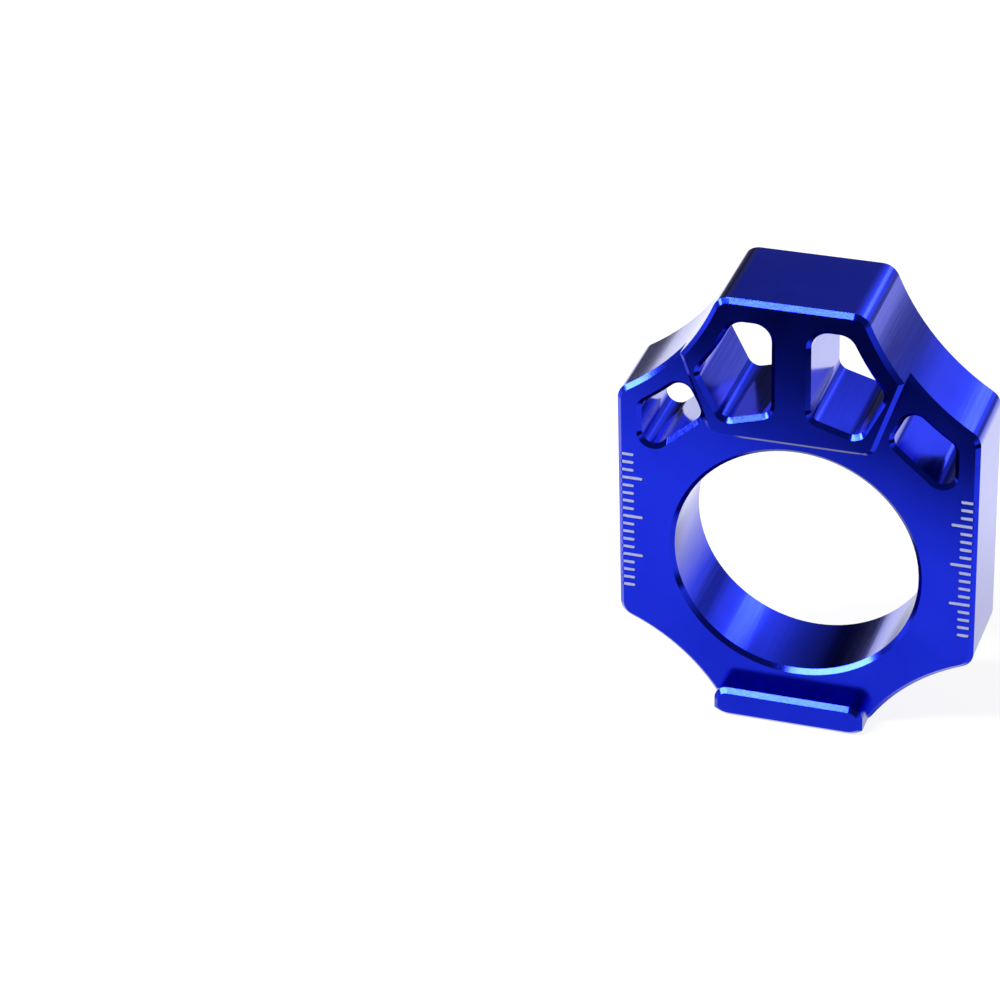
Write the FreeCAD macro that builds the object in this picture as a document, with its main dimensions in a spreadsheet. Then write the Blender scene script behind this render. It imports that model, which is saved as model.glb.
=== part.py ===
import FreeCAD
import Part
import Sketcher
import math
import os

# Axle block of a motorcycle chain adjuster, one piece machined from flat aluminium bar.
# The axle passes through the large bore and its head lies in the seat between a raised
# platform and a raised rib. The adjuster bolt pushes on the top end, and the two guide
# flats slide in the swingarm slot. Origin: bore axis, halfway through the plate.
# +Z points along the slot to the adjuster end, -Y is the front, where the head lies.

SIZES = [
    ("bore_dia", 28.0, "axle bore"),
    ("guide_width", 40.9, "across the two guide flats"),
    ("plate_depth", 10.6, "thickness between the guide flats"),
    ("step_height", 2.6, "platform and rib above the plate"),
    ("top_height", 33.5, "bore axis to the adjuster end"),
    ("top_width", 16.4, "adjuster end, from corner to corner"),
    ("foot_width", 16.8, "foot end, from corner to corner"),
    ("guide_top", 19.0, "bore axis to the upper end of the guide flats"),
    ("guide_foot", 9.9, "bore axis to the lower end of the guide flats"),
    ("top_scallop", 27.8, "radius of the upper scallops"),
    ("foot_scallop", 22.0, "radius of the lower scallops"),
    ("corner_round", 2.0, "upright corners of the top end and the guide flats"),
    ("foot_round", 2.8, "upright corners of the foot end"),
    ("edge_break", 0.5, "chamfer on every rim, front and back"),
    ("seat_land", 2.4, "plate between the bore and the steps of the seat"),
    ("platform_reach", 0.84, "platform past the middle of each spoke at the seat"),
    ("platform_turn", 8.0, "sides of the platform, degrees steeper than the spokes"),
    ("rib_reach", 0.25, "rib past each corner of the foot end"),
    ("rib_depth", 3.6, "rib from the seat to the foot end"),
    ("step_round", 1.6, "corners of the platform and the rib at the seat"),
    ("centre_web", 4.4, "web between the inner pockets"),
    ("rim_wall", 5.9, "wall between the bore and the pockets"),
    ("top_wall", 2.8, "wall at the adjuster end"),
    ("side_wall", 2.75, "wall at the guide flats"),
    ("scallop_wall", 2.6, "wall along the upper scallops"),
    ("spoke_width", 3.2, "spoke between an inner and an outer pocket"),
    ("spoke_lean", 27.0, "spokes, degrees from upright"),
    ("inner_floor_lean", 16.0, "floor of the inner pockets, degrees from level"),
    ("outer_floor_lean", 41.0, "floor of the outer pockets, degrees from level"),
    ("pocket_round", 1.4, "upright corners of the pockets"),
    ("ceiling_round", 2.0, "upright corners under the wall at the adjuster end"),
    ("mark_pitch", 1.0, "graduations"),
    ("mark_count", 18.0, "graduations beside each guide flat"),
    ("mark_top", 11.0, "bore axis to the topmost graduation"),
    ("long_mark_top", 8.0, "bore axis to the topmost long graduation"),
    ("long_mark_step", 5.0, "graduations from one long one to the next"),
    ("mark_length", 1.9, "graduation, in from the guide flat"),
    ("long_mark_length", 2.9, "long graduation, in from the guide flat"),
    ("mark_width", 0.4, "groove of a graduation"),
    ("mark_depth", 0.12, "groove of a graduation"),
]

# Cutting profiles run this far past the block
OVERRUN = 3.0
# Two places closer than this are the same place
SAME = 0.001

doc = FreeCAD.newDocument("chain_adjuster")
sheet = doc.addObject("Spreadsheet::Sheet", "Sizes")
for row, (alias, value, note) in enumerate(SIZES, start=1):
    sheet.set("A%d" % row, alias)
    sheet.set("B%d" % row, str(value))
    sheet.set("C%d" % row, note)
    sheet.setAlias("B%d" % row, alias)
doc.recompute()


def size(alias):
    return float(sheet.get(alias))


bore_r = size("bore_dia") / 2
half_guide = size("guide_width") / 2
half_top = size("top_width") / 2
half_foot = size("foot_width") / 2
half_rib = half_foot + size("rib_reach")
half_spoke = size("spoke_width") / 2
half_web = size("centre_web") / 2
top_z = size("top_height")
guide_top_z = size("guide_top")
guide_foot_z = -size("guide_foot")
seat_z = bore_r + size("seat_land")
foot_z = -seat_z - size("rib_depth")
spoke_lean = math.radians(size("spoke_lean"))
half_platform = seat_z * math.tan(spoke_lean) + size("platform_reach")
ceiling_z = top_z - size("top_wall")
back_y = size("plate_depth") / 2
plate_y = -back_y
step_y = plate_y - size("step_height")

# Sketch references: the origin point and the upright axis; then the points of a curve
ORIGIN, UPRIGHT = range(-1, -3, -1)
START, END, CENTRE = range(1, 4)


def new_body(name):
    body = doc.addObject("PartDesign::Body", name)
    body.Label = name
    body.Placement = FreeCAD.Placement()
    return body


def origin_plane(body, role):
    return [plane for plane in body.Origin.OriginFeatures if plane.Role == role][0]


def new_sketch(body, name, lift=None):
    """A sketch parallel to the plate, seen from the front, lifted off its middle plane."""
    sketch = body.newObject("Sketcher::SketchObject", name)
    sketch.AttachmentSupport = [(origin_plane(body, "XZ_Plane"), "")]
    sketch.MapMode = "FlatFace"
    if lift:
        sketch.setExpression("AttachmentOffset.Base.z", lift)
    return sketch


def add_line(sketch, start, end, helper=False):
    segment = Part.LineSegment(FreeCAD.Vector(*start), FreeCAD.Vector(*end))
    return sketch.addGeometry(segment, helper)


def add_arc(sketch, centre, start, end, helper=False):
    """An arc that runs anticlockwise from start to end."""
    radius = math.dist(centre, start)
    circle = Part.Circle(FreeCAD.Vector(*centre), FreeCAD.Vector(0, 0, 1), radius)
    first = math.atan2(start[1] - centre[1], start[0] - centre[0])
    last = math.atan2(end[1] - centre[1], end[0] - centre[0])
    return sketch.addGeometry(Part.ArcOfCircle(circle, first, last), helper)


def add_circle(sketch, radius, helper=False):
    circle = Part.Circle(FreeCAD.Vector(0, 0, 0), FreeCAD.Vector(0, 0, 1), radius)
    return sketch.addGeometry(circle, helper)


def rule(sketch, kind, *places):
    sketch.addConstraint(Sketcher.Constraint(kind, *places))


def measure(sketch, name, expression, kind, *places):
    """A dimension that takes its value from the sheet."""
    value = sheet.evalExpression(expression.replace("Sizes.", ""))
    if kind == "Angle":
        value = math.radians(value.Value)
    index = sketch.addConstraint(Sketcher.Constraint(kind, *places, float(value)))
    sketch.renameConstraint(index, name)
    sketch.setExpression("Constraints." + name, expression)


def join(sketch, *pairs):
    for first, second in pairs:
        rule(sketch, "Coincident", *first, *second)


def mirror_points(sketch, *pairs):
    for first, second in pairs:
        rule(sketch, "Symmetric", *first, *second, UPRIGHT)


def cut(body, name, sketch):
    """A pocket through the whole body, both ways from its sketch."""
    pocket = body.newObject("PartDesign::Pocket", name)
    pocket.Profile = sketch
    pocket.SideType = "Symmetric"
    pocket.Type = "ThroughAll"
    settle(body, pocket)
    return pocket


def settle(body, feature):
    """Rebuild, and stop where a cut has taken nothing away."""
    before = body.Shape.Volume
    doc.recompute()
    if feature.Shape.Volume > before - SAME:
        raise RuntimeError(feature.Name + " removes nothing")


def upright_edges(shape, corners):
    """Edges that run from front to back through the given corners."""
    names = []
    for index, edge in enumerate(shape.Edges, start=1):
        box = edge.BoundBox
        if box.XLength > SAME or box.ZLength > SAME:
            continue
        if any(math.dist((box.Center.x, box.Center.z), corner) < SAME for corner in corners):
            names.append("Edge%d" % index)
    return names


def both_sides(corners):
    return [(side * x, z) for x, z in corners for side in (1, -1)]


def round_corners(body, name, radius, corners):
    before = body.Tip
    fillet = body.newObject("PartDesign::Fillet", name)
    fillet.Base = (before, upright_edges(before.Shape, corners))
    fillet.setExpression("Radius", radius)
    doc.recompute()


def sinks(face, level):
    """Whether a face leads from a level down through the block, past any chamfer."""
    box = face.BoundBox
    depth = box.YMax - level if level < 0 else level - box.YMin
    return depth > 2 * size("edge_break")


def rim_edges(shape, level):
    """Sharp edges where a level ends at a wall of the block, of the bore or of a pocket."""
    names = []
    for index, edge in enumerate(shape.Edges, start=1):
        box = edge.BoundBox
        if abs(box.YMin - level) > SAME or abs(box.YMax - level) > SAME:
            continue
        faces = shape.ancestorsOfType(edge, Part.Face)
        if any(sinks(face, level) for face in faces):
            names.append("Edge%d" % index)
    return names


def break_rims(body, name, *levels):
    before = body.Tip
    chamfer = body.newObject("PartDesign::Chamfer", name)
    names = [edge for level in levels for edge in rim_edges(before.Shape, level)]
    chamfer.Base = (before, names)
    chamfer.setExpression("Size", "Sizes.edge_break")
    settle(body, chamfer)


def meet_lines(first, second):
    """Where two lines cross, each given by its normal's angle and its distance."""
    (angle_1, far_1), (angle_2, far_2) = first, second
    cos_1, sin_1 = math.cos(angle_1), math.sin(angle_1)
    cos_2, sin_2 = math.cos(angle_2), math.sin(angle_2)
    size_of = cos_1 * sin_2 - sin_1 * cos_2
    return (far_1 * sin_2 - far_2 * sin_1) / size_of, (far_2 * cos_1 - far_1 * cos_2) / size_of


def meet_circle(line, centre, radius):
    """Where a line first enters a circle, on the side of the origin."""
    angle, far = line
    normal = (math.cos(angle), math.sin(angle))
    offset = far - normal[0] * centre[0] - normal[1] * centre[1]
    half = math.sqrt(radius ** 2 - offset ** 2)
    foot = (centre[0] + offset * normal[0], centre[1] + offset * normal[1])
    ends = [(foot[0] - way * half * normal[1], foot[1] + way * half * normal[0]) for way in (1, -1)]
    return min(ends, key=lambda end: math.hypot(*end))


def scallop_centre(low, high, radius):
    """Centre of a scallop on the right side, from its two corners."""
    chord = math.dist(low, high)
    reach = math.sqrt(radius ** 2 - chord ** 2 / 4)
    out = ((high[1] - low[1]) / chord, (low[0] - high[0]) / chord)
    return (low[0] + high[0]) / 2 + reach * out[0], (low[1] + high[1]) / 2 + reach * out[1]


# Outline of the block, with all corners sharp
foot_corner = (half_foot, foot_z)
guide_low = (half_guide, guide_foot_z)
guide_high = (half_guide, guide_top_z)
top_corner = (half_top, top_z)
top_centre = scallop_centre(guide_high, top_corner, size("top_scallop"))
foot_centre = scallop_centre(foot_corner, guide_low, size("foot_scallop"))


def left(place):
    return -place[0], place[1]


seat_measure = "Sizes.bore_dia / 2 + Sizes.seat_land"
foot_measure = seat_measure + " + Sizes.rib_depth"


def draw_outline(body, name):
    outline = new_sketch(body, name)
    foot = add_line(outline, left(foot_corner), foot_corner)
    foot_arc = add_arc(outline, foot_centre, guide_low, foot_corner)
    guide = add_line(outline, guide_low, guide_high)
    top_arc = add_arc(outline, top_centre, top_corner, guide_high)
    top = add_line(outline, top_corner, left(top_corner))
    top_arc_left = add_arc(outline, left(top_centre), left(guide_high), left(top_corner))
    guide_left = add_line(outline, left(guide_high), left(guide_low))
    foot_arc_left = add_arc(outline, left(foot_centre), left(foot_corner), left(guide_low))
    join(
        outline,
        ((foot, END), (foot_arc, END)),
        ((foot_arc, START), (guide, START)),
        ((guide, END), (top_arc, END)),
        ((top_arc, START), (top, START)),
        ((top, END), (top_arc_left, END)),
        ((top_arc_left, START), (guide_left, START)),
        ((guide_left, END), (foot_arc_left, END)),
        ((foot_arc_left, START), (foot, START)),
    )
    mirror_points(
        outline,
        ((foot, START), (foot, END)),
        ((top, START), (top, END)),
        ((guide, START), (guide_left, END)),
        ((guide, END), (guide_left, START)),
    )
    rule(outline, "Vertical", guide)
    rule(outline, "Equal", top_arc, top_arc_left)
    rule(outline, "Equal", foot_arc, foot_arc_left)
    measure(outline, "foot_width", "Sizes.foot_width", "DistanceX", foot, START, foot, END)
    measure(outline, "top_width", "Sizes.top_width", "DistanceX", top, END, top, START)
    measure(outline, "guide_width", "Sizes.guide_width", "DistanceX", guide_left, END, guide, START)
    measure(outline, "top_height", "Sizes.top_height", "DistanceY", ORIGIN, START, top, START)
    measure(outline, "foot_height", foot_measure, "DistanceY", foot, END, ORIGIN, START)
    measure(outline, "guide_top", "Sizes.guide_top", "DistanceY", ORIGIN, START, guide, END)
    measure(outline, "guide_foot", "Sizes.guide_foot", "DistanceY", guide, START, ORIGIN, START)
    measure(outline, "top_scallop", "Sizes.top_scallop", "Radius", top_arc)
    measure(outline, "foot_scallop", "Sizes.foot_scallop", "Radius", foot_arc)
    return outline


def round_block(body, name):
    """Round the upright corners of a body that has the block's outline."""
    corners = both_sides([top_corner, guide_high, guide_low])
    round_corners(body, name + "_rounds", "Sizes.corner_round", corners)
    round_corners(body, name + "_foot_rounds", "Sizes.foot_round", both_sides([foot_corner]))


# The plate between the guide flats
block = new_body("axle_block")
plate = block.newObject("PartDesign::Pad", "plate")
plate.Profile = draw_outline(block, "plate_outline")
plate.SideType = "Symmetric"
plate.setExpression("Length", "Sizes.plate_depth")
doc.recompute()
round_block(block, "plate")
break_rims(block, "plate_rims", back_y, plate_y)

# The steps in front of the plate, of the same outline
steps = new_body("steps")
bar = steps.newObject("PartDesign::Pad", "bar")
bar.Profile = draw_outline(steps, "bar_outline")
bar.setExpression("Length", "Sizes.plate_depth / 2 + Sizes.step_height")
doc.recompute()
round_block(steps, "bar")

# Seat for the axle's head: only the platform and the rib stand on the plate
far_x = half_guide + OVERRUN
high_z = top_z + OVERRUN
low_z = foot_z - OVERRUN
lean = spoke_lean - math.radians(size("platform_turn"))
platform_top = (half_platform + (high_z - seat_z) * math.tan(lean), high_z)

seat = new_sketch(steps, "seat_profile")
corners = [
    (half_rib, low_z),
    (far_x, low_z),
    (far_x, high_z),
    platform_top,
    (half_platform, seat_z),
    (-half_platform, seat_z),
    left(platform_top),
    (-far_x, high_z),
    (-far_x, low_z),
    (-half_rib, low_z),
    (-half_rib, -seat_z),
    (half_rib, -seat_z),
]
sides = [add_line(seat, start, end) for start, end in zip(corners, corners[1:] + corners[:1])]
for here, after in zip(sides, sides[1:] + sides[:1]):
    join(seat, ((here, END), (after, START)))
low, far, high, flank, platform_foot = sides[0:5]
high_left, far_left, low_left, rib_left, rib_edge, rib_side = sides[6:12]
mirror_points(
    seat,
    ((low, START), (low_left, END)),
    ((low, END), (low_left, START)),
    ((high, START), (high_left, END)),
    ((high, END), (high_left, START)),
    ((platform_foot, START), (platform_foot, END)),
    ((rib_edge, START), (rib_edge, END)),
)
rule(seat, "Horizontal", low)
rule(seat, "Horizontal", high)
rule(seat, "Vertical", far)
rule(seat, "Vertical", rib_side)
far_measure = "Sizes.guide_width / 2 + %g" % OVERRUN
high_measure = "Sizes.top_height + %g" % OVERRUN
low_measure = foot_measure + " + %g" % OVERRUN
spoke_measure = "(" + seat_measure + ") * tan(Sizes.spoke_lean * 1 deg)"
platform_measure = "2 * (" + spoke_measure + " + Sizes.platform_reach)"
lean_measure = "90 deg + (Sizes.spoke_lean - Sizes.platform_turn) * 1 deg"
rib_measure = "Sizes.foot_width + 2 * Sizes.rib_reach"
measure(seat, "far", far_measure, "DistanceX", ORIGIN, START, far, START)
measure(seat, "high", high_measure, "DistanceY", ORIGIN, START, far, END)
measure(seat, "low", low_measure, "DistanceY", far, START, ORIGIN, START)
measure(seat, "platform_width", platform_measure, "DistanceX", platform_foot, END, platform_foot, START)
measure(seat, "platform_edge", seat_measure, "DistanceY", ORIGIN, START, platform_foot, START)
measure(seat, "platform_lean", lean_measure, "Angle", flank, END, platform_foot, START)
measure(seat, "rib_width", rib_measure, "DistanceX", rib_edge, START, rib_edge, END)
measure(seat, "rib_edge", seat_measure, "DistanceY", rib_edge, START, ORIGIN, START)

cut(steps, "seat", seat)
step_corners = both_sides([(half_platform, seat_z), (half_rib, -seat_z)])
step_radius = "min(Sizes.step_round; 0.45 * Sizes.rib_depth)"
round_corners(steps, "step_rounds", step_radius, step_corners)
break_rims(steps, "step_rims", step_y)

whole = block.newObject("PartDesign::Boolean", "plate_and_steps")
whole.Type = "Fuse"
whole.setObjects([steps])
doc.recompute()

bore_sketch = new_sketch(block, "bore_profile")
bore_circle = add_circle(bore_sketch, bore_r)
rule(bore_sketch, "Coincident", bore_circle, CENTRE, ORIGIN, START)
measure(bore_sketch, "bore_dia", "Sizes.bore_dia", "Diameter", bore_circle)
cut(block, "bore", bore_sketch)

# Pockets between bore and scallop on the right: an inner and an outer one with a radial
# spoke between them. Their floors touch a circle about the bore, and their upper walls
# run alongside the scallop.
rim_r = bore_r + size("rim_wall")
wall_r = size("top_scallop") + size("scallop_wall")
inner_floor_line = (math.radians(90 - size("inner_floor_lean")), rim_r)
outer_floor_line = (math.radians(90 - size("outer_floor_lean")), rim_r)
inner_spoke_line = (-spoke_lean, -half_spoke)
outer_spoke_line = (-spoke_lean, half_spoke)
web_line = (0.0, half_web)
ceiling_line = (math.radians(90), ceiling_z)
side_line = (0.0, half_guide - size("side_wall"))

inner_corners = [
    meet_lines(web_line, ceiling_line),
    meet_lines(web_line, inner_floor_line),
    meet_lines(inner_floor_line, inner_spoke_line),
    meet_circle(inner_spoke_line, top_centre, wall_r),
    meet_circle(ceiling_line, top_centre, wall_r),
]
outer_corners = [
    meet_lines(side_line, outer_floor_line),
    meet_lines(outer_floor_line, outer_spoke_line),
    meet_circle(outer_spoke_line, top_centre, wall_r),
    meet_circle(side_line, top_centre, wall_r),
]

pockets = new_sketch(block, "pocket_profile")
rim_circle = add_circle(pockets, rim_r, True)
spoke_axis = add_line(pockets, (0, 0), (top_z * math.tan(spoke_lean), top_z), True)
scallop = add_arc(pockets, top_centre, top_corner, guide_high, True)
rule(pockets, "Coincident", rim_circle, CENTRE, ORIGIN, START)
rule(pockets, "Coincident", spoke_axis, START, ORIGIN, START)
rim_measure = "Sizes.bore_dia / 2 + Sizes.rim_wall"
axis_measure = "90 deg - Sizes.spoke_lean * 1 deg"
measure(pockets, "rim", rim_measure, "Radius", rim_circle)
measure(pockets, "spoke_lean", axis_measure, "Angle", spoke_axis)
measure(pockets, "spoke_top", "Sizes.top_height", "DistanceY", ORIGIN, START, spoke_axis, END)
measure(pockets, "scallop_top_x", "Sizes.top_width / 2", "DistanceX", ORIGIN, START, scallop, START)
measure(pockets, "scallop_top_z", "Sizes.top_height", "DistanceY", ORIGIN, START, scallop, START)
measure(pockets, "scallop_low_x", "Sizes.guide_width / 2", "DistanceX", ORIGIN, START, scallop, END)
measure(pockets, "scallop_low_z", "Sizes.guide_top", "DistanceY", ORIGIN, START, scallop, END)
measure(pockets, "scallop", "Sizes.top_scallop", "Radius", scallop)

web = add_line(pockets, inner_corners[0], inner_corners[1])
inner_floor = add_line(pockets, inner_corners[2], inner_corners[1])
inner_spoke = add_line(pockets, inner_corners[2], inner_corners[3])
inner_wall = add_arc(pockets, top_centre, inner_corners[4], inner_corners[3])
ceiling = add_line(pockets, inner_corners[4], inner_corners[0])
outer_floor = add_line(pockets, outer_corners[0], outer_corners[1])
outer_spoke = add_line(pockets, outer_corners[1], outer_corners[2])
outer_wall = add_arc(pockets, top_centre, outer_corners[2], outer_corners[3])
side = add_line(pockets, outer_corners[3], outer_corners[0])
join(
    pockets,
    ((web, END), (inner_floor, END)),
    ((inner_floor, START), (inner_spoke, START)),
    ((inner_spoke, END), (inner_wall, END)),
    ((inner_wall, START), (ceiling, START)),
    ((ceiling, END), (web, START)),
    ((outer_floor, END), (outer_spoke, START)),
    ((outer_spoke, END), (outer_wall, START)),
    ((outer_wall, END), (side, START)),
    ((side, END), (outer_floor, START)),
)
rule(pockets, "Vertical", web)
rule(pockets, "Vertical", side)
rule(pockets, "Horizontal", ceiling)
web_measure = "Sizes.centre_web / 2"
side_measure = "Sizes.guide_width / 2 - Sizes.side_wall"
ceiling_measure = "Sizes.top_height - Sizes.top_wall"
wall_measure = "Sizes.top_scallop + Sizes.scallop_wall"
half_spoke_measure = "Sizes.spoke_width / 2"
measure(pockets, "web", web_measure, "DistanceX", ORIGIN, START, web, END)
measure(pockets, "side", side_measure, "DistanceX", ORIGIN, START, side, START)
measure(pockets, "ceiling", ceiling_measure, "DistanceY", ORIGIN, START, ceiling, START)
for name, floor, spoke, wall in (
    ("inner", inner_floor, inner_spoke, inner_wall),
    ("outer", outer_floor, outer_spoke, outer_wall),
):
    floor_measure = "180 deg - Sizes." + name + "_floor_lean * 1 deg"
    rule(pockets, "Tangent", floor, rim_circle)
    rule(pockets, "Parallel", spoke, spoke_axis)
    rule(pockets, "Coincident", wall, CENTRE, scallop, CENTRE)
    measure(pockets, name + "_floor_lean", floor_measure, "Angle", floor)
    measure(pockets, name + "_spoke", half_spoke_measure, "Distance", ORIGIN, START, spoke)
    measure(pockets, name + "_wall", wall_measure, "Radius", wall)

pockets_right = cut(block, "pockets_right", pockets)
pockets_left = block.newObject("PartDesign::Mirrored", "pockets_left")
pockets_left.Originals = [pockets_right]
pockets_left.MirrorPlane = (origin_plane(block, "YZ_Plane"), [""])
block.Tip = pockets_left
settle(block, pockets_left)

under_top = [inner_corners[0], inner_corners[4]]
others = inner_corners[1:4] + outer_corners
round_corners(block, "ceiling_rounds", "Sizes.ceiling_round", both_sides(under_top))
round_corners(block, "pocket_rounds", "Sizes.pocket_round", both_sides(others))
break_rims(block, "opening_rims", back_y, plate_y, step_y)


def graduations(name, length, first, count, step):
    """A groove at each guide flat, repeated down the plate."""
    profile = new_sketch(block, name + "_profile", "Sizes.plate_depth / 2")
    inner = half_guide - size(length)
    low = size(first) - size("mark_width") / 2
    high = size(first) + size("mark_width") / 2
    right = [(inner, low), (far_x, low), (far_x, high), (inner, high)]
    for ends in (right, [left(place) for place in right]):
        ring = [add_line(profile, a, b) for a, b in zip(ends, ends[1:] + ends[:1])]
        for here, after in zip(ring, ring[1:] + ring[:1]):
            join(profile, ((here, END), (after, START)))
    mirror_points(profile, *[((edge, START), (edge + 4, START)) for edge in range(4)])
    rule(profile, "Horizontal", 0)
    rule(profile, "Horizontal", 2)
    rule(profile, "Vertical", 1)
    rule(profile, "Vertical", 3)
    inner_measure = "Sizes.guide_width / 2 - Sizes." + length
    low_measure = "Sizes." + first + " - Sizes.mark_width / 2"
    measure(profile, "inner", inner_measure, "DistanceX", ORIGIN, START, 3, END)
    measure(profile, "outer", far_measure, "DistanceX", ORIGIN, START, 1, START)
    measure(profile, "low", low_measure, "DistanceY", ORIGIN, START, 0, START)
    measure(profile, "width", "Sizes.mark_width", "DistanceY", 1, START, 1, END)
    groove = block.newObject("PartDesign::Pocket", name + "_groove")
    groove.Profile = profile
    groove.setExpression("Length", "Sizes.mark_depth")
    settle(block, groove)
    row = block.newObject("PartDesign::LinearPattern", name)
    row.Originals = [groove]
    row.Direction = (profile, ["V_Axis"])
    row.Reversed = True
    row.Mode = "Spacing"
    row.setExpression("Occurrences", count)
    row.setExpression("Offset", step)
    block.Tip = row
    settle(block, row)


graduations("marks", "mark_length", "mark_top", "Sizes.mark_count", "Sizes.mark_pitch")
above = "(Sizes.mark_top - Sizes.long_mark_top) / Sizes.mark_pitch"
graduations(
    "long_marks",
    "long_mark_length",
    "long_mark_top",
    "floor((Sizes.mark_count - 1 - " + above + ") / Sizes.long_mark_step) + 1",
    "Sizes.long_mark_step * Sizes.mark_pitch",
)

for item in doc.Objects:
    if "Invalid" in item.State or "Error" in item.State:
        raise RuntimeError(item.Name + " failed: " + ", ".join(item.State))
if block.Shape.isNull() or not block.Shape.isValid() or len(block.Shape.Solids) != 1:
    raise RuntimeError("axle_block is not one valid solid")

os.makedirs("parts", exist_ok=True)
block.Shape.exportStep("parts/" + block.Label + ".step")
print(block.Label, block.Shape.BoundBox, block.Shape.Volume)
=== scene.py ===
import math

import bmesh
import bpy
from mathutils import Matrix, Vector

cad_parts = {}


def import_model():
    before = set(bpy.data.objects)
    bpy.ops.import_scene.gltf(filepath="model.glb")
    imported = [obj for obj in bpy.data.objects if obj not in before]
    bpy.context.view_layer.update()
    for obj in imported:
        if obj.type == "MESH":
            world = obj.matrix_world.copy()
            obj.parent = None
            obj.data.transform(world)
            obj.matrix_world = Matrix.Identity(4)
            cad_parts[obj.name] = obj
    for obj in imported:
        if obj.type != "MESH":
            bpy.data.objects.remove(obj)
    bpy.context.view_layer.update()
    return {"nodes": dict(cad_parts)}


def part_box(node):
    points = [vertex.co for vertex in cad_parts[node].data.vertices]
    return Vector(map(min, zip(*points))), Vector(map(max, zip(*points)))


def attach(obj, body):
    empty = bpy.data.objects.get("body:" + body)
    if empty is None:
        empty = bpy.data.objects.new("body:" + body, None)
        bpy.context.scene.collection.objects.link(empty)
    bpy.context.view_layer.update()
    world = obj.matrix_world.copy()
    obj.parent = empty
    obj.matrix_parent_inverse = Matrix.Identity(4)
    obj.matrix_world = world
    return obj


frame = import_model()
scene = bpy.context.scene
scene.view_settings.view_transform = "Standard"

MM = 0.001
WHITE = (1.0, 1.0, 1.0, 1.0)
BLACK = (0.0, 0.0, 0.0, 1.0)
BLUE_DEEP = (0.010, 0.024, 0.64, 1.0)
BLUE_LIGHT = (0.013, 0.030, 0.72, 1.0)
BLUE_SLANT = (0.72, 0.76, 1.0, 1.0)
ETCHED_DARK = (0.36, 0.40, 0.66, 1.0)
ETCHED_LIGHT = (0.52, 0.56, 0.80, 1.0)
ACROSS = Vector((1.0, 0.0, 0.0))
DEPTH = Vector((0.0, 1.0, 0.0))
UP = Vector((0.0, 0.0, 1.0))

# The block, whose plate reaches as far forward as back, and places on it
BLOCK = frame["nodes"]["axle_block"]
BLOCK_LOW, BLOCK_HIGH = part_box("axle_block")
FLOOR_Z = BLOCK_LOW[2]
GUIDE_X = BLOCK_HIGH[0]
PLATE_FRONT = -BLOCK_HIGH[1]

# Graduations, in the shallow grooves of the plate
MARK_COUNT = 18
MARK_PITCH = 1.0 * MM
HIGHEST_MARK = 11.0 * MM
FIRST_LONG_MARK = 3
LONG_MARK_EVERY = 5
MARK_MARGIN = 0.55 * MM
SHORT_MARK = 1.32 * MM
LONG_MARK = 2.32 * MM
MARK_WIDTH = 0.34 * MM
MARK_DEPTH = 0.09 * MM
MARK_SUNK = 0.02 * MM
MARK_END_STEPS = 8

# Middle of a noise, which is stretched to the full reach
NOISE_LOW = 0.3
NOISE_HIGH = 0.7

# How far a facet faces the front or the back: a wall, a flat and a chamfer
WALL_FRONTAL = 0.35
FLAT_FRONTAL = 0.9
CHAMFER_FRONTAL = math.sqrt(0.5)
CHAMFER_NEAR = 0.03
CHAMFER_FAR = 0.08

# Surface of the block, with sizes of the noises in lumps per metre
LINE_STRETCH = 0.035
LINE_SCALE = 2600.0
BROAD_SCALE = 700.0
GRAIN_SCALE = 5200.0
CLOUD_SCALE = 160.0
LINE_SHARE = 0.6
BROAD_SHARE = 0.8
GRAIN_SHARE = 0.3
BLOCK_BUMP = 0.3
BLOCK_BUMP_DEPTH = 0.03 * MM
WALL_ROUGH = (0.13, 0.22)
FLAT_ROUGH = (0.18, 0.23)
CHAMFER_ROUGH = (0.10, 0.16)
OXIDE_FACING = (0.54, 0.74)
OXIDE_IOR = 2.9
OXIDE_ROUGH = 0.12

# Surface of the graduations
SPECKLE_SCALE = 6000.0
ETCHED_BUMP = 0.2
ETCHED_BUMP_DEPTH = 0.02 * MM
ETCHED_ROUGH = (0.45, 0.7)

# Lower ends of the outer pockets, from the middle and from the bore's axis. Where a facet of their
# chamfer rises, its shading faces at least as far to the right as the lean says
POCKET_END_X = (14.8 * MM, 18.6 * MM)
POCKET_END_Z = (11.4 * MM, 13.6 * MM)
POCKET_END_EDGE = 0.1 * MM
POCKET_END_RISE = (0.0, 0.05)
POCKET_END_LEAN = 0.35

# Camera, fitted to the corners and rims of the block in the photo
FRAME_PIXELS = 1000.0
FOCAL_PIXELS = 3933.42
SENSOR_WIDTH = 36.0
CAMERA_PLACE = Vector((96.05, -365.9, 229.65)) * MM
CAMERA_RIGHT = Vector((0.9456, 0.3240, -0.0291))
CAMERA_BACK = Vector((0.2929, -0.8091, 0.5095))
CLIP_START = 0.01
CLIP_END = 20.0

# Room
FLOOR_REACH = 6.0
FLOOR_GLOW = 0.88
FLOOR_GREY = (0.20, 0.20, 0.20, 1.0)
ROOM_LEVEL = 0.13
HORIZON_LEVEL = 0.70
HORIZON_TOP = 0.30
HALO_LEVEL = 1.5
HALO_FALL = 13.0
BACK_LIGHT = Vector((0.348, 0.820, 0.454)).normalized()

# Painted shade: a dark card on the floor before the block, which only its reflections see
FRONT_CARD_SLANT = 0.5
FRONT_CARD_START = 40.5 * MM
FRONT_CARD_FULL = 74.5 * MM
FRONT_CARD_FADE = 220.0 * MM
FRONT_CARD_END = 300.0 * MM
FRONT_CARD_NEAR = 20.0 * MM
FRONT_CARD_SIDE = 250.0 * MM
FRONT_CARD_DENSITY = 0.98
CARD_LIFT = 1.0 * MM
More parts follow.
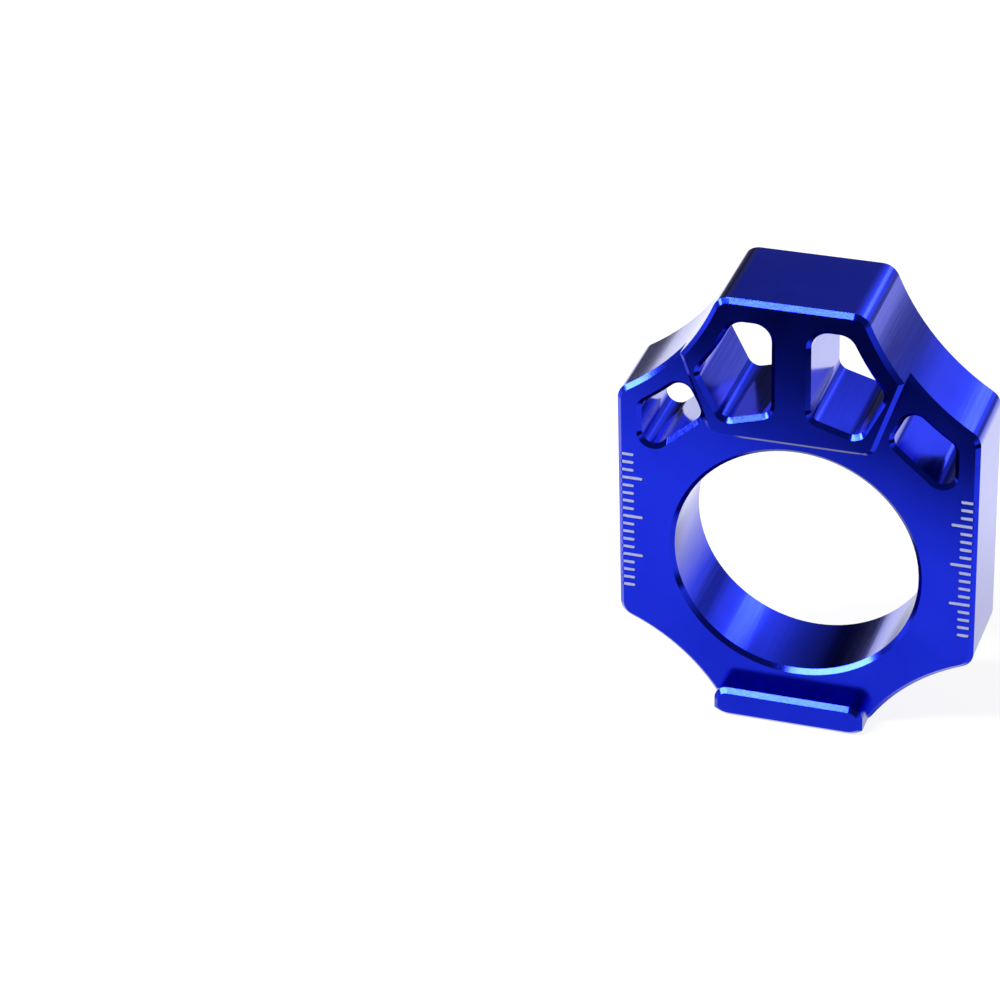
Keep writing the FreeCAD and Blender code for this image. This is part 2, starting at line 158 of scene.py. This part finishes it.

# Painted shadow: dark cards on the floor round the foot and close behind it, which only the block's
# reflections see
FOOT_SHADOW_CARD = {"core": 8.0 * MM, "edge": 54.0 * MM, "density": 0.24}
CONTACT_SHADOW_CARD = {"core": 8.0 * MM, "edge": 20.0 * MM, "density": 0.5}
CONTACT_X = -8.0 * MM
CONTACT_Y = 13.0 * MM

# Painted shade: dark cards that stand behind the block, which only its reflections see, in the order name,
# azimuth, distance, height, core, edge, density
STANDING_SHADE_CARDS = (
    ("left_card", -32.0, 250.0 * MM, 40.0 * MM, 45.0 * MM, 95.0 * MM, 0.9),
    ("right_card", 33.0, 400.0 * MM, 28.0 * MM, 21.0 * MM, 70.0 * MM, 0.7),
    ("middle_card", 19.8, 68.0 * MM, 44.0 * MM, 9.0 * MM, 21.0 * MM, 0.7),
    ("near_card", 1.2, 47.0 * MM, 40.0 * MM, 4.0 * MM, 15.0 * MM, 0.6),
)

# Lamps, in the order name, toward, along, distance, length, width, radiance
LAMPS = (
    ("strip_light", (-0.595, -0.465, 0.645), (-0.75, 0.20, -0.52), 0.9, 0.95, 0.12, 34.0),
    ("side_light", (-0.860, -0.263, 0.438), (0.123, -0.142, 0.299), 0.9, 0.20, 0.08, 30.0),
    ("back_light", BACK_LIGHT, ACROSS, 0.5, 0.10, 0.09, 5.0),
)


# Node helpers

class Nodes:
    """A node tree, built one node at a time."""

    def __init__(self, tree):
        self.tree = tree
        self.tree.nodes.clear()

    def feed(self, socket, value):
        if isinstance(value, bpy.types.NodeSocket):
            self.tree.links.new(value, socket)
        else:
            socket.default_value = value

    def add(self, kind, inputs=None, **settings):
        node = self.tree.nodes.new(kind)
        for name, value in settings.items():
            setattr(node, name, value)
        for key, value in (inputs or {}).items():
            self.feed(node.inputs[key], value)
        return node

    def place(self):
        return self.add("ShaderNodeTexCoord").outputs["Object"]

    def axes(self, vector):
        return self.add("ShaderNodeSeparateXYZ", {"Vector": vector}).outputs

    def math(self, operation, first, second=0.0, clamp=False):
        node = self.add("ShaderNodeMath", {0: first, 1: second}, operation=operation, use_clamp=clamp)
        return node.outputs[0]

    def noise(self, place, scale, detail, roughness):
        inputs = {"Vector": place, "Scale": scale, "Detail": detail, "Roughness": roughness}
        return self.add("ShaderNodeTexNoise", inputs).outputs[0]

    def bump(self, strength, depth, height):
        inputs = {"Strength": strength, "Distance": depth, "Height": height}
        return self.add("ShaderNodeBump", inputs).outputs[0]

    def range(self, value, low, high, to_low, to_high, curve="LINEAR"):
        inputs = {"Value": value, "From Min": low, "From Max": high, "To Min": to_low, "To Max": to_high}
        return self.add("ShaderNodeMapRange", inputs, clamp=True, interpolation_type=curve).outputs[0]

    def spread(self, noise, low, high):
        """Stretches a noise, whose middle is one half, to run from low to high."""
        return self.range(noise, NOISE_LOW, NOISE_HIGH, low, high)

    def band(self, value, reach, edge):
        """1 within the reach and 0 beyond it, with an edge on either side."""
        rise = self.range(value, reach[0] - edge, reach[0], 0.0, 1.0)
        fall = self.range(value, reach[1], reach[1] + edge, 1.0, 0.0)
        return self.math("MULTIPLY", rise, fall)

    def mix_value(self, factor, first, second):
        return self.add("ShaderNodeMix", {0: factor, 2: first, 3: second}, data_type="FLOAT").outputs[0]

    def mix_colour(self, factor, first, second):
        return self.add("ShaderNodeMix", {0: factor, 6: first, 7: second}, data_type="RGBA").outputs[2]

    def finish(self, shader, kind="ShaderNodeOutputMaterial"):
        self.add(kind, {0: shader.outputs[0]})


def new_material(name):
    material = bpy.data.materials.new(name)
    material.use_nodes = True
    return material, Nodes(material.node_tree)


def mesh_object(name, mesh, material):
    data = bpy.data.meshes.new(name)
    mesh.to_mesh(data)
    mesh.free()
    data.materials.append(material)
    piece = bpy.data.objects.new(name, data)
    scene.collection.objects.link(piece)
    return piece


# Blue anodised aluminium

def lean_pocket_ends(n, place, facet, chamfer, normal):
    """Turns the chamfer's shading to the right at the outer pockets' lower ends, clear of the lamps."""
    axes = n.axes(place)
    beside = n.band(n.math("ABSOLUTE", axes[0]), POCKET_END_X, POCKET_END_EDGE)
    low = n.band(axes[2], POCKET_END_Z, POCKET_END_EDGE)
    there = n.math("MULTIPLY", chamfer, n.math("MULTIPLY", beside, low))
    rising = n.range(facet[2], *POCKET_END_RISE, 0.0, 1.0)
    lack = n.math("MAXIMUM", n.math("SUBTRACT", POCKET_END_LEAN, facet[0]), 0.0)
    amount = n.math("MULTIPLY", there, n.math("MULTIPLY", rising, lack))
    lean = n.add("ShaderNodeCombineXYZ", {"X": amount})
    leaned = n.add("ShaderNodeVectorMath", {0: normal, 1: lean.outputs[0]}, operation="ADD").outputs[0]
    return n.add("ShaderNodeVectorMath", {0: leaned}, operation="NORMALIZE").outputs[0]


def anodised():
    """Dyed, satin machined aluminium: end-mill lines on the walls, fine grain on the flats."""
    material, n = new_material("blue_anodised_aluminium")
    place = n.place()
    facet = n.axes(n.add("ShaderNodeNewGeometry").outputs["True Normal"])
    frontal = n.math("ABSOLUTE", facet[1])
    flat = n.range(frontal, WALL_FRONTAL, FLAT_FRONTAL, 0.0, 1.0)
    off_slope = n.math("ABSOLUTE", n.math("SUBTRACT", frontal, CHAMFER_FRONTAL))
    chamfer = n.range(off_slope, CHAMFER_NEAR, CHAMFER_FAR, 1.0, 0.0)

    # On the walls the side of the cutter leaves lines along the depth
    along = n.add("ShaderNodeMapping", {"Vector": place, "Scale": (1.0, LINE_STRETCH, 1.0)}).outputs[0]
    lines = n.noise(along, scale=LINE_SCALE, detail=3.0, roughness=0.6)
    broad = n.noise(along, scale=BROAD_SCALE, detail=2.0, roughness=0.5)
    grain = n.noise(place, scale=GRAIN_SCALE, detail=2.0, roughness=0.5)
    cloud = n.noise(place, scale=CLOUD_SCALE, detail=3.0, roughness=0.5)
    wall_lines = n.math("MULTIPLY", lines, LINE_SHARE)
    wall_height = n.math("ADD", wall_lines, n.math("MULTIPLY", broad, BROAD_SHARE))
    height = n.mix_value(flat, wall_height, n.math("MULTIPLY", grain, GRAIN_SHARE))
    bump = n.bump(BLOCK_BUMP, BLOCK_BUMP_DEPTH, height)
    bump = lean_pocket_ends(n, place, facet, chamfer, bump)

    # The chamfers are cut last and are the brightest work on the block
    rough = n.mix_value(flat, n.spread(lines, *WALL_ROUGH), n.spread(cloud, *FLAT_ROUGH))
    rough = n.mix_value(chamfer, rough, n.spread(lines, *CHAMFER_ROUGH))

    # The sealed oxide over the dye mirrors more and more at a glancing angle
    facing = n.add("ShaderNodeLayerWeight", {"Blend": 0.5, "Normal": bump}).outputs["Facing"]
    shader = n.add(
        "ShaderNodeBsdfPrincipled",
        {
            "Base Color": n.mix_colour(n.spread(cloud, 0.0, 1.0), BLUE_DEEP, BLUE_LIGHT),
            "Metallic": 1.0,
            "Roughness": rough,
            "Specular Tint": BLUE_SLANT,
            "Coat Weight": n.range(facing, *OXIDE_FACING, 0.0, 1.0),
            "Coat IOR": OXIDE_IOR,
            "Coat Roughness": OXIDE_ROUGH,
            "Normal": bump,
            "Coat Normal": bump,
        },
    )
    n.finish(shader)
    return material


# Graduations

def etched():
    """Aluminium laid open by a laser: pale, matt and a little uneven."""
    material, n = new_material("etched_graduations")
    speckle = n.noise(n.place(), scale=SPECKLE_SCALE, detail=2.0, roughness=0.6)
    bump = n.bump(ETCHED_BUMP, ETCHED_BUMP_DEPTH, speckle)
    shader = n.add(
        "ShaderNodeBsdfPrincipled",
        {
            "Base Color": n.mix_colour(n.spread(speckle, 0.0, 1.0), ETCHED_DARK, ETCHED_LIGHT),
            "Metallic": 0.0,
            "Roughness": n.spread(speckle, *ETCHED_ROUGH),
            "Normal": bump,
        },
    )
    n.finish(shader)
    return material


def add_mark(mesh, side, length, z):
    """A bar with a rounded inner end, closed on all sides. side is 1 on the right and -1 on the left."""
    half = MARK_WIDTH / 2
    outer = side * (GUIDE_X - MARK_MARGIN)
    centre = outer - side * (length - half)
    turns = [math.pi / 2 + math.pi * step / MARK_END_STEPS for step in range(MARK_END_STEPS + 1)]
    rim = [(centre + side * half * math.cos(turn), z + half * math.sin(turn)) for turn in turns]
    rim += [(outer, z - half), (outer, z + half)]
    front = PLATE_FRONT + MARK_SUNK
    fronts = [mesh.verts.new((x, front, height)) for x, height in rim]
    backs = [mesh.verts.new((x, front + MARK_DEPTH, height)) for x, height in rim]
    mesh.faces.new(fronts)
    mesh.faces.new(list(reversed(backs)))
    for index in range(len(rim)):
        after = (index + 1) % len(rim)
        mesh.faces.new((fronts[index], backs[index], backs[after], fronts[after]))


def graduations():
    mesh = bmesh.new()
    for side in (1, -1):
        for index in range(MARK_COUNT):
            is_long = index % LONG_MARK_EVERY == FIRST_LONG_MARK
            length = LONG_MARK if is_long else SHORT_MARK
            add_mark(mesh, side, length, HIGHEST_MARK - index * MARK_PITCH)
    bmesh.ops.recalc_face_normals(mesh, faces=mesh.faces)
    marks = mesh_object("graduations", mesh, etched())
    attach(marks, "root")


# Floor and room

def sheet(name, centre, side, up, material):
    """A flat sheet of the stage. side and up reach from its centre to its edges."""
    mesh = bmesh.new()
    corners = (centre - side - up, centre + side - up, centre + side + up, centre - side + up)
    mesh.faces.new([mesh.verts.new(corner) for corner in corners])
    piece = mesh_object(name, mesh, material)
    return piece


def floor():
    """White paper out to the horizon, which keeps a soft shadow."""
    material, n = new_material("floor_paper")
    diffuse = n.add("ShaderNodeBsdfDiffuse", {"Color": FLOOR_GREY})
    rays = n.add("ShaderNodeLightPath").outputs
    seen = n.math("ADD", rays["Is Camera Ray"], rays["Is Glossy Ray"])
    seen = n.math("ADD", seen, rays["Is Transmission Ray"], clamp=True)
    glow = n.add("ShaderNodeEmission", {"Color": WHITE, "Strength": n.math("MULTIPLY", seen, FLOOR_GLOW)})
    n.finish(n.add("ShaderNodeAddShader", {0: diffuse.outputs[0], 1: glow.outputs[0]}))
    sheet("floor", UP * FLOOR_Z, ACROSS * FLOOR_REACH, DEPTH * FLOOR_REACH, material)


def world():
    """A dim room, pale at the horizon and bright round the lamp behind the block."""
    room = bpy.data.worlds.new("room")
    room.use_nodes = True
    n = Nodes(room.node_tree)
    way = n.add("ShaderNodeTexCoord").outputs["Generated"]
    near = n.add("ShaderNodeVectorMath", {0: way, 1: BACK_LIGHT}, operation="DOT_PRODUCT").outputs["Value"]
    halo = n.math("EXPONENT", n.math("MULTIPLY", n.math("SUBTRACT", near, 1.0), HALO_FALL))
    horizon = n.range(n.axes(way)[2], 0.0, HORIZON_TOP, HORIZON_LEVEL, 0.0)
    level = n.math("ADD", n.math("MULTIPLY", halo, HALO_LEVEL), n.math("ADD", horizon, ROOM_LEVEL))
    n.finish(n.add("ShaderNodeBackground", {"Color": WHITE, "Strength": level}), "ShaderNodeOutputWorld")
    scene.world = room


# Dark cards of painted shade, which only the block's reflections see

def painted_shade_card(name, centre, side, up, material, n, density):
    """A sheet of painted shade that only reflections see. density is 0 where the card is clear and 1 where it
    is black.
    """
    clear = n.add("ShaderNodeBsdfTransparent").outputs[0]
    black = n.add("ShaderNodeBsdfDiffuse", {"Color": BLACK}).outputs[0]
    n.finish(n.add("ShaderNodeMixShader", {0: density, 1: clear, 2: black}))
    card = sheet(name, centre, side, up, material)
    card.visible_camera = False
    card.visible_diffuse = False
    card.visible_transmission = False
    card.visible_shadow = False


def front_shade_card():
    """Painted shade in the block's reflections: lies before the block, so that its front darkens upwards, and
    most on the right.
    """
    material, n = new_material("front_shade_card")
    place = n.axes(n.place())
    away = n.math("SUBTRACT", n.math("MULTIPLY", place[0], FRONT_CARD_SLANT), place[1])
    rise = n.range(away, FRONT_CARD_START, FRONT_CARD_FULL, 0.0, FRONT_CARD_DENSITY, "SMOOTHSTEP")
    fall = n.range(away, FRONT_CARD_FADE, FRONT_CARD_END, 1.0, 0.0)
    middle = DEPTH * -(FRONT_CARD_NEAR + FRONT_CARD_END) / 2 + UP * (FLOOR_Z + CARD_LIFT)
    reach = DEPTH * (FRONT_CARD_END - FRONT_CARD_NEAR) / 2
    density = n.math("MULTIPLY", rise, fall)
    painted_shade_card("front_shade_card", middle, ACROSS * FRONT_CARD_SIDE, reach, material, n, density)


def round_card(name, centre, side, up, core, edge, density):
    """Painted shade, dark out to core from its centre, and clear from edge on. side and up are unit vectors.
    """
    material, n = new_material(name)
    gap = n.add("ShaderNodeVectorMath", {0: n.place(), 1: centre}, operation="DISTANCE").outputs["Value"]
    fade = n.range(gap, core, edge, density, 0.0, "SMOOTHSTEP")
    painted_shade_card(name, centre, side * edge, up * edge, material, n, fade)


def standing_shade_card(name, azimuth, distance, height, core, edge, density):
    """A round card of painted shade behind the block, at an azimuth in degrees from straight behind it
    towards the right.
    """
    turn = math.radians(azimuth)
    away = ACROSS * math.sin(turn) + DEPTH * math.cos(turn)
    side = away.cross(UP)
    round_card(name, away * distance + UP * height, side, UP, core, edge, density)


def painted_contact_shadows():
    """Painted shadow in the block's reflections: dims the floor round the foot, and once more close behind
    it, where the block keeps the light off.
    """
    foot = UP * (FLOOR_Z + CARD_LIFT / 2)
    round_card("foot_shadow_card", foot, ACROSS, DEPTH, **FOOT_SHADOW_CARD)
    behind = ACROSS * CONTACT_X + DEPTH * CONTACT_Y + UP * (FLOOR_Z + CARD_LIFT)
    round_card("contact_shadow_card", behind, ACROSS, DEPTH, **CONTACT_SHADOW_CARD)


# Lamps and camera

def facing_frame(right, back):
    """Rotation of an object whose own X runs along right and whose own Z runs along back."""
    back = back.normalized()
    up = back.cross(right).normalized()
    return Matrix((up.cross(back), up, back)).transposed().to_4x4()


def soft_box(name, toward, along, distance, length, width, radiance):
    """A rectangular lamp that faces the block. toward leads to the lamp, and along is how its length runs."""
    lamp = bpy.data.lights.new(name, "AREA")
    lamp.shape = "RECTANGLE"
    lamp.size = length
    lamp.size_y = width
    lamp.energy = radiance * math.pi * length * width
    holder = bpy.data.objects.new(name, lamp)
    scene.collection.objects.link(holder)
    toward = Vector(toward).normalized()
    holder.matrix_world = Matrix.Translation(toward * distance) @ facing_frame(Vector(along), toward)


def camera():
    lens = bpy.data.cameras.new("camera")
    lens.sensor_width = SENSOR_WIDTH
    lens.sensor_fit = "HORIZONTAL"
    lens.lens = SENSOR_WIDTH * FOCAL_PIXELS / FRAME_PIXELS
    lens.clip_start = CLIP_START
    lens.clip_end = CLIP_END
    holder = bpy.data.objects.new("camera", lens)
    scene.collection.objects.link(holder)
    holder.matrix_world = Matrix.Translation(CAMERA_PLACE) @ facing_frame(CAMERA_RIGHT, CAMERA_BACK)
    scene.camera = holder


finish = anodised()
for slot in BLOCK.material_slots:
    slot.material = finish
graduations()

floor()
world()
front_shade_card()
for card in STANDING_SHADE_CARDS:
    standing_shade_card(*card)
painted_contact_shadows()
for lamp in LAMPS:
    soft_box(*lamp)
camera()
